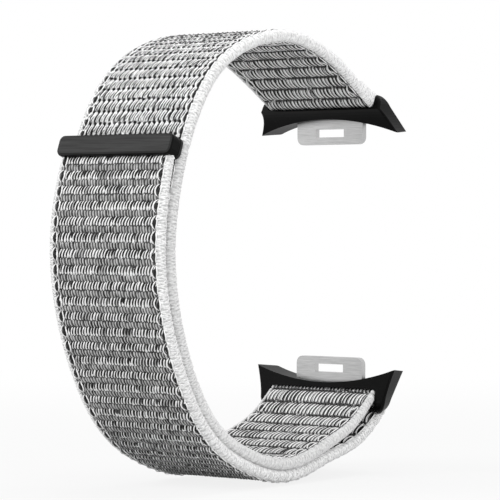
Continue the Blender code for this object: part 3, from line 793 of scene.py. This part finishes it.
def grey(level):
    """A display grey from 0 to 1 as a linear color."""
    linear = ((level + 0.055) / 1.055) ** 2.4 if level > 0.04045 else level / 12.92
    return (linear, linear, linear, 1.0)


def grey_ramp(tree, value, low, high, start=0.3, end=0.7):
    """Greys from low to high as the value goes from start to end."""
    node = tree.nodes.new("ShaderNodeValToRGB")
    first, last = node.color_ramp.elements
    first.position = start
    first.color = grey(low)
    last.position = end
    last.color = grey(high)
    tree.links.new(value, node.inputs["Fac"])
    return node.outputs["Color"]


def add_bump(tree, shader, height, strength, distance):
    bump = add_node(tree, "ShaderNodeBump", Strength=strength, Distance=distance)
    tree.links.new(height, bump.inputs["Height"])
    tree.links.new(bump.outputs["Normal"], shader.inputs["Normal"])


def yarn_material(name, low, high, roughness=0.75, sheen=0.25, patch_scale=900.0,
                  streak_scale=(26.0, 2.2)):
    """Filament yarn: patchy tone, fine streaks along the yarn."""
    material, tree, shader = new_material(name)
    fabric = add_node(tree, "ShaderNodeUVMap", uv_map="fabric").outputs["UV"]
    streaks = noise(tree, stretched(tree, fabric, (*streak_scale, 1.0)))
    patches = noise(tree, object_place(tree), patch_scale, detail=2.0)
    both = add_node(tree, "ShaderNodeMath", operation="ADD")
    half = add_node(tree, "ShaderNodeMath", operation="MULTIPLY")
    tree.links.new(streaks, both.inputs[0])
    tree.links.new(patches, both.inputs[1])
    tree.links.new(both.outputs["Value"], half.inputs[0])
    half.inputs[1].default_value = 0.5
    color = grey_ramp(tree, half.outputs["Value"], low, high, *yarn_ramp)
    tree.links.new(color, shader.inputs["Base Color"])
    add_bump(tree, shader, streaks, strength=0.5, distance=0.03 * mm)
    shader.inputs["Roughness"].default_value = roughness
    shader.inputs["Sheen Weight"].default_value = sheen
    shader.inputs["Specular IOR Level"].default_value = 0.3
    return material


def clip_front():
    """The way the clip's front face looks, out of the strap."""
    out = outer_face(np.array([tail_length - tip_height / 2]))[1][0]
    return (0.0, out[0], out[1])


def coated_metal(name, low, high, roughness, front=None):
    """Satin black coating on metal, with a fine grain; a front face, if any, is painted paler with
    brushed marks, as painted light.
    """
    material, tree, shader = new_material(name)
    place = object_place(tree)
    broad = noise(tree, place, scale=160.0, detail=4.0)
    fine = noise(tree, place, scale=5200.0, detail=2.0, roughness=0.5)
    color = grey_ramp(tree, broad, low, high)
    if front:
        # painted light: the face that looks the front way is given a paler tone
        color = painted_light_front(tree, place, color, front)
    tree.links.new(color, shader.inputs["Base Color"])
    least, most = (roughness + step for step in roughness_spread)
    tree.links.new(between(tree, fine, least, most), shader.inputs["Roughness"])
    add_bump(tree, shader, fine, strength=0.25, distance=0.01 * mm)
    shader.inputs["Specular IOR Level"].default_value = 0.07
    return material


def painted_light_front(tree, place, color, front):
    """Painted light: mixes in a paler tone with brushed marks where the surface looks the given way, as
    if that face caught the light.
    """
    shape = tree.nodes.new("ShaderNodeNewGeometry")
    facing = add_node(tree, "ShaderNodeVectorMath", operation="DOT_PRODUCT")
    tree.links.new(shape.outputs["Normal"], facing.inputs[0])
    facing.inputs[1].default_value = front
    share = add_node(tree, "ShaderNodeMapRange", From_Min=0.8, From_Max=0.99)
    tree.links.new(facing.outputs["Value"], share.inputs["Value"])
    marks = noise(tree, stretched(tree, place, brushed_scale))
    mix = add_node(tree, "ShaderNodeMix", data_type="RGBA")
    tree.links.new(share.outputs["Result"], mix.inputs["Factor"])
    tree.links.new(color, mix.inputs["A"])
    tree.links.new(grey_ramp(tree, marks, 0.17, 0.24), mix.inputs["B"])
    return mix.outputs["Result"]


def brushed_steel(name):
    """Plain steel with fine marks across it."""
    material, tree, shader = new_material(name)
    marks = noise(tree, stretched(tree, object_place(tree), steel_scale), detail=4.0, roughness=0.7)
    tree.links.new(grey_ramp(tree, marks, 0.66, 0.8), shader.inputs["Base Color"])
    tree.links.new(between(tree, marks, 0.24, 0.4), shader.inputs["Roughness"])
    add_bump(tree, shader, marks, strength=0.2, distance=0.005 * mm)
    shader.inputs["Metallic"].default_value = 1.0
    return material


# In the order of the slots that the yarns name
webbing_materials = [
    yarn_material("white_yarn", 0.9, 0.99),
    yarn_material("grey_yarn", 0.58, 0.8),
    yarn_material("black_yarn", 0.01, 0.08, roughness=0.6, sheen=0.05),
    yarn_material("dark_grey_yarn", 0.14, 0.34),
    yarn_material("core_yarn", 0.14, 0.24),
    yarn_material("edge_yarn", 0.8, 1.0, patch_scale=edge_patch_scale),
    # painted shade: a greyer copy of the edge yarn
    yarn_material("edge_yarn_painted_shade", 0.8, 0.94, patch_scale=edge_patch_scale),
    # painted shade: greyer than the edge yarn, for the gaps between the crossing yarns
    yarn_material("edge_base_yarn", 0.7, 0.86, patch_scale=edge_patch_scale),
    yarn_material("pale_yarn", 0.5, 1.0, streak_scale=(8.0, 0.9)),
]


# Pieces
def make_inner_webbing():
    """The stretch from the upper bar round the wrist and through the lower adapter."""
    parts = MeshParts()
    turn = math.pi * upper_wrap_radius
    fold = math.pi * lower_wrap_radius
    pile_end = curve_length - pile_end_gap
    add_core(parts, inner_face, run_thickness, 0.0, curve_length)
    add_core(parts, loop_end_face, loop_end_thickness, 0.0, turn)
    add_core(parts, fold_face, folded_thickness, 0.0, fold)
    weave_ribs(parts, inner_face, 0.0, curve_length)
    add_knots(parts, inner_face, knot_start, curve_length - knot_start, rib_pitch, inner_knot_inset)
    weave_ribs(parts, fold_face, 0.0, fold)
    weave_ribs(parts, loop_end_face, 0.0, turn)
    weave_pile(parts, back_face, pile_start, pile_end)
    add_knots(parts, back_face, knot_start, pile_end, pile_pitch)
    for place in (seam_place, seam_place + seam_row_gap):
        add_seam(parts, back_face, place)
    # Painted shade: where the tail lies over it, the inner run's edge takes the greyer copy of the edge
    # yarn.
    beside = curve_length - tail_length + edge_shade_overlap
    run = (0.0, curve_length)
    add_edges(parts, inner_face, run_thickness, 0.0, beside, edge_slot, run)
    add_edges(parts, inner_face, run_thickness, beside, curve_length, painted_shade_edge_slot, run)
    add_edges(parts, fold_face, folded_thickness, 0.0, fold, edge_slot)
    webbing = parts.build("webbing_inner_run", webbing_materials)
    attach(webbing, "band")
    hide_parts("wrist_band")


def make_outer_webbing():
    """The stretch from the lower bar back outside the strap to the tip clip."""
    parts = MeshParts()
    end = tail_length - outer_end_inset
    flap = tail_length - flap_length
    add_core(parts, outer_face, outer_thickness, 0.0, end)
    weave_dashes(parts, outer_face, 0.0, end)
    add_knots(parts, outer_face, 0.0, end)
    for first, last in ((0.0, layer_close_length), (flap - bend_reach, end)):
        weave_ribs(parts, flap_back_face, first, last)
        add_knots(parts, flap_back_face, first, last, rib_pitch)
    add_edges(parts, outer_face, outer_thickness, 0.0, end, edge_slot)
    webbing = parts.build("webbing_outer_run", webbing_materials)
    bend = outer_face(np.array([flap - bend_reach, flap + bend_reach]))[0]
    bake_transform(webbing)
    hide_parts("tail_flap")


def make_hook_tape():
    """The hook patch under the free end: a thin woven tape with rows of small hooks."""
    parts = MeshParts()
    start = tail_length - flap_length + patch_slit_margin
    end = tail_length - tip_height - patch_tip_margin
    half = half_width - patch_side_margin
    top = flap_thickness + soft_clearance
    add_tape(parts, start, end, half, top)
    add_hooks(parts, start, end, half, top + tape_thickness)
    materials = [
        yarn_material("tape_yarn", 0.62, 0.8),
        yarn_material("hook_nylon", 0.75, 0.88),
    ]
    tape = parts.build("hook_tape", materials)
    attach(tape, "tail")
    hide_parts("hook_patch")


def add_tape(parts, start, end, half, top):
    """The tape's body, from top to bottom under the outer run's face."""
    lengths = np.linspace(start, end, tape_stations)
    points, out = outer_face(lengths)
    bottom = top + tape_thickness
    ring = []
    for x, depth in ((-half, top), (half, top), (half, bottom), (-half, bottom)):
        place = points - out * depth
        ring.append(np.concatenate([np.full((len(lengths), 1), x), place], -1))
    add_ring_body(parts, ring, lengths, 0)


def add_hooks(parts, start, end, half, foot):
    """Rows of hooks that stand on the tape's face and bend over, by turns up and down the strap."""
    xs = np.linspace(-half + hook_margin, half - hook_margin, hook_column_count)
    ss = np.linspace(start + hook_margin, end - hook_margin, hook_row_count)
    hook_x, hook_s = np.meshgrid(xs, ss)
    hook_x = hook_x.ravel()
    hook_s = hook_s.ravel()
    share = np.linspace(0.0, 1.0, hook_stations)[None, :]
    bend = np.clip((share - hook_stem_share) / (1 - hook_stem_share), 0.0, 1.0) * math.pi
    flip = np.where(np.arange(len(hook_x)) % 2, 1.0, -1.0)[:, None]
    sway = flip * hook_radius * (1 - np.cos(bend))
    rise = np.minimum(share / hook_stem_share, 1.0) * hook_stem + hook_radius * np.sin(bend)
    s = hook_s[:, None] + sway
    points, out = outer_face(s)
    centre = points - out * (foot + rise)[..., None]
    path = np.concatenate([np.broadcast_to(hook_x[:, None], s.shape)[..., None], centre], -1)
    helper = np.broadcast_to(np.array((1.0, 0.0, 0.0)), path.shape)
    add_tube(parts, path, np.full(s.shape, hook_wire_radius), 1, helper)


def dress_nodes():
    """Gives the carried-over solids their finished materials."""
    coat = coated_metal("black_coating", 0.01, 0.03, roughness=0.4)
    # painted light: the clip's front face is made paler than its black sides
    cover = coated_metal("clip_coating", 0.01, 0.03, roughness=0.34, front=clip_front())
    plate = coated_metal("plate_coating", 0.14, 0.2, roughness=0.42)
    metal = brushed_steel("bar_steel")
    for name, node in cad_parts.items():
        if name.endswith("_adapter"):
            material = coat
        elif name == "tip_cover":
            material = cover
        elif name == "tip_clamp":
            material = plate
        elif name in ("wrist_band", "tail_flap", "hook_patch"):
            continue
        else:
            material = metal
        for slot in node.material_slots:
            slot.material = material


# Floor, light and camera
def make_floor(height):
    mesh = bpy.data.meshes.new("floor")
    sides = ((-1, -1), (1, -1), (1, 1), (-1, 1))
    corners = [(x * floor_reach, y * floor_reach, height) for x, y in sides]
    mesh.from_pydata(corners, [], [(0, 1, 2, 3)])
    floor = bpy.data.objects.new("floor", mesh)
    bpy.context.scene.collection.objects.link(floor)
    mesh.materials.append(floor_material())


def floor_material():
    """Pale and matt. Away from the strap it fades to a plain white that is seen but gives no light."""
    material, tree, shader = new_material("floor_white")
    shader.inputs["Base Color"].default_value = (floor_grey, floor_grey, floor_grey, 1.0)
    shader.inputs["Roughness"].default_value = 0.9
    shader.inputs["Specular IOR Level"].default_value = 0.0
    away = add_node(tree, "ShaderNodeVectorMath", operation="LENGTH")
    tree.links.new(object_place(tree), away.inputs[0])
    fade = add_node(tree, "ShaderNodeMapRange", interpolation_type="SMOOTHSTEP",
                    From_Min=floor_fade[0], From_Max=floor_fade[1], To_Min=floor_least_glow)
    tree.links.new(away.outputs["Value"], fade.inputs["Value"])
    share = add_node(tree, "ShaderNodeMath", operation="MULTIPLY")
    tree.links.new(fade.outputs["Result"], share.inputs[0])
    tree.links.new(seen_by_eye(tree), share.inputs[1])
    glow = add_node(tree, "ShaderNodeEmission", Strength=1.0)
    mix = tree.nodes.new("ShaderNodeMixShader")
    tree.links.new(share.outputs["Value"], mix.inputs["Fac"])
    tree.links.new(shader.outputs["BSDF"], mix.inputs[1])
    tree.links.new(glow.outputs["Emission"], mix.inputs[2])
    tree.links.new(mix.outputs["Shader"], tree.nodes["Material Output"].inputs["Surface"])
    return material


def seen_by_eye(tree):
    """1 for rays from the camera and for what gloss and glass show, 0 for light."""
    path = tree.nodes.new("ShaderNodeLightPath")
    first = add_node(tree, "ShaderNodeMath", operation="MAXIMUM")
    second = add_node(tree, "ShaderNodeMath", operation="MAXIMUM")
    tree.links.new(path.outputs["Is Camera Ray"], first.inputs[0])
    tree.links.new(path.outputs["Is Glossy Ray"], first.inputs[1])
    tree.links.new(first.outputs["Value"], second.inputs[0])
    tree.links.new(path.outputs["Is Transmission Ray"], second.inputs[1])
    return second.outputs["Value"]


def make_world():
    world = bpy.data.worlds.new("studio")
    world.use_nodes = True
    bpy.context.scene.world = world
    tree = world.node_tree
    background = tree.nodes["Background"]
    background.inputs["Color"].default_value = (1.0, 1.0, 1.0, 1.0)
    level = between(tree, seen_by_eye(tree), world_light, world_white)
    tree.links.new(level, background.inputs["Strength"])


def add_lamp(name, place, power):
    """A soft square lamp that looks at the strap."""
    data = bpy.data.lights.new(name, "AREA")
    data.shape = "SQUARE"
    data.size = lamp_size
    data.energy = power
    lamp = bpy.data.objects.new(name, data)
    lamp.location = place
    aim = Vector(lamp_target) - Vector(place)
    lamp.rotation_euler = aim.to_track_quat("-Z", "Y").to_euler()
    bpy.context.scene.collection.objects.link(lamp)


def make_lights():
    add_lamp("key_light", (-0.35, -0.75, 0.55), 4.7)
    add_lamp("side_light", (0.8, -0.35, 0.25), 3.6)
    add_lamp("top_light", (0.1, 0.1, 0.9), 3.0)


def make_camera():
    """Looks the way the fit gives, from a place set off to the side, and rolled a little."""
    across, high = math.cos(camera_elevation), math.sin(camera_elevation)
    back = Vector((math.sin(camera_azimuth) * across, -math.cos(camera_azimuth) * across, high))
    right = Vector((math.cos(camera_azimuth), math.sin(camera_azimuth), 0.0))
    up = back.cross(right)
    turned_right = right * math.cos(camera_roll) + up * math.sin(camera_roll)
    turned_up = up * math.cos(camera_roll) - right * math.sin(camera_roll)
    place = camera_aim + right * camera_side_offset + up * camera_rise + back * camera_distance
    matrix = Matrix.Identity(4)
    matrix.col[0] = (*turned_right, 0.0)
    matrix.col[1] = (*turned_up, 0.0)
    matrix.col[2] = (*back, 0.0)
    matrix.col[3] = (*place, 1.0)
    data = bpy.data.cameras.new("camera")
    data.sensor_width = sensor_width
    data.lens = sensor_width * focal_in_pixels / picture_width
    data.clip_start = camera_clip_start
    camera = bpy.data.objects.new("camera", data)
    camera.matrix_world = matrix
    bpy.context.scene.collection.objects.link(camera)
    bpy.context.scene.camera = camera


make_inner_webbing()
make_outer_webbing()
make_hook_tape()
dress_nodes()
make_floor(cad_low[2] - floor_drop)
make_world()
make_lights()
make_camera()
bpy.context.scene.view_settings.view_transform = "Standard"
